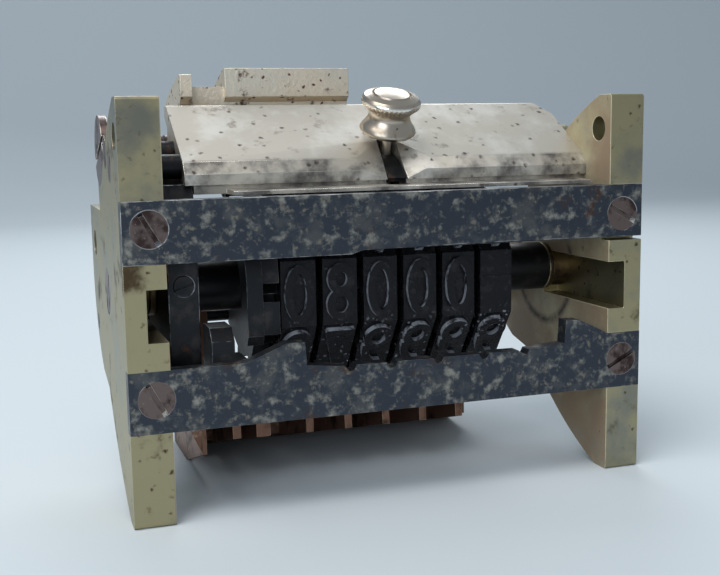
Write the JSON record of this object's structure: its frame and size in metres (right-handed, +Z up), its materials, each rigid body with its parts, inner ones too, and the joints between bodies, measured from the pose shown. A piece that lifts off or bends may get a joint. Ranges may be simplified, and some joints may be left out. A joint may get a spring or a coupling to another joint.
{
  "type": "numbering machine head",
  "caption": "Numbering head with figure wheels on one shaft between brass end plates, blued front bars, a cover with a knob, and a swinging rear block with its pawl.",
  "frame": {"origin": "on the floor, at the middle of the bounding box, midway between the end plates", "axes": "+X along the wheel shaft from the units end, +Y back from the printing front, +Z up"},
  "size_m": [0.0676, 0.036, 0.0544],
  "materials": {
    "plate_brass": "tarnished, polished on the outer faces",
    "blued_steel": "blued steel, worn and spotted",
    "nickel": "warm nickel with dark specks",
    "screw_steel": "brown tarnished steel",
    "inked_steel": "crusted with dried ink, glossy",
    "dark_steel": "dark oiled steel",
    "rough_brass": "rough cast, brown stained",
    "copper": "brown copper",
    "bearing_brass": "brown brass",
    "spring_steel": "spring steel"
  },
  "bodies": {
    "frame": {"left_end_plate": "plate_brass", "right_end_plate": "plate_brass", "upper_bar": "blued_steel", "lower_bar": "blued_steel", "bar_screws": "screw_steel", "cover_bar": "nickel", "cover_screws": "screw_steel", "cover_spacers": "dark_steel", "wheel_shaft": "dark_steel", "shaft_end_screws": "screw_steel", "left_bush": "bearing_brass", "right_bush": "bearing_brass", "left_sleeve": "dark_steel", "right_sleeve": "dark_steel", "inner_cheek": "dark_steel", "cheek_screw": "screw_steel", "guide_block": "dark_steel", "guide_screw": "screw_steel", "holding_pin": "dark_steel", "carrier_rod": "screw_steel", "comb": "copper", "comb_foot": "copper", "comb_rod": "dark_steel", "detent_springs": "spring_steel", "clamp_strip": "dark_steel", "clamp_screws": "screw_steel", "swing_spring": "spring_steel", "lever_spring": "spring_steel"},
    "wheel_1": {"number_wheel_1": "inked_steel", "ratchet_1": "dark_steel"},
    "wheel_2": {"number_wheel_2": "inked_steel", "ratchet_2": "dark_steel"},
    "wheel_3": {"number_wheel_3": "inked_steel", "ratchet_3": "dark_steel"},
    "wheel_4": {"number_wheel_4": "inked_steel", "ratchet_4": "dark_steel"},
    "wheel_5": {"number_wheel_5": "inked_steel", "ratchet_5": "dark_steel"},
    "wheel_6": {"number_wheel_6": "inked_steel", "ratchet_6": "dark_steel"},
    "swing": {"swing_block": "rough_brass", "block_pin": "screw_steel", "drive_pin": "dark_steel"},
    "driver": {"drive_pawl": "dark_steel"},
    "key": {"knob_lever": "dark_steel", "knob": "nickel"},
    "holder": {"holding_pawl": "dark_steel"}
  },
  "joints": [
    {"name": "wheel_1_turn", "type": "hinge", "parent": "frame", "child": "wheel_1", "pos_m": [-0.01205, -0.0005, 0.0259], "axis": [1, 0, 0], "continuous": true},
    {"name": "wheel_2_turn", "type": "hinge", "parent": "frame", "child": "wheel_2", "pos_m": [-0.00665, -0.0005, 0.0259], "axis": [1, 0, 0], "continuous": true},
    {"name": "wheel_3_turn", "type": "hinge", "parent": "frame", "child": "wheel_3", "pos_m": [-0.00125, -0.0005, 0.0259], "axis": [1, 0, 0], "continuous": true},
    {"name": "wheel_4_turn", "type": "hinge", "parent": "frame", "child": "wheel_4", "pos_m": [0.00415, -0.0005, 0.0259], "axis": [1, 0, 0], "continuous": true},
    {"name": "wheel_5_turn", "type": "hinge", "parent": "frame", "child": "wheel_5", "pos_m": [0.00955, -0.0005, 0.0259], "axis": [1, 0, 0], "continuous": true},
    {"name": "wheel_6_turn", "type": "hinge", "parent": "frame", "child": "wheel_6", "pos_m": [0.01495, -0.0005, 0.0259], "axis": [1, 0, 0], "continuous": true},
    {"name": "swing_turn", "type": "hinge", "parent": "frame", "child": "swing", "pos_m": [-0.00385, 0.0028, 0.0437], "axis": [1, 0, 0], "range_deg": [0, 33], "stiffness_Nm_per_rad": 0.002, "springref_deg": -17.19, "deforming": ["swing_spring"]},
    {"name": "driver_turn", "type": "hinge", "parent": "swing", "child": "driver", "pos_m": [-0.00385, 0.016, 0.0436], "axis": [1, 0, 0], "range_deg": [-31, 0]},
    {"name": "key_turn", "type": "hinge", "parent": "frame", "child": "key", "pos_m": [0.00175, 0.0028, 0.0437], "axis": [1, 0, 0], "range_deg": [0, 2.5], "stiffness_Nm_per_rad": 0.002, "springref_deg": -34.38, "deforming": ["lever_spring"]},
    {"name": "holder_turn", "type": "hinge", "parent": "frame", "child": "holder", "pos_m": [-0.01785, -0.0088, 0.0352], "axis": [1, 0, 0], "range_deg": [-4, 0], "stiffness_Nm_per_rad": 0.001, "springref_deg": 22.92}
  ],
  "couplings": [
    {"joint": "driver_turn", "follows": "swing_turn", "ratio": -0.924}
  ]
}
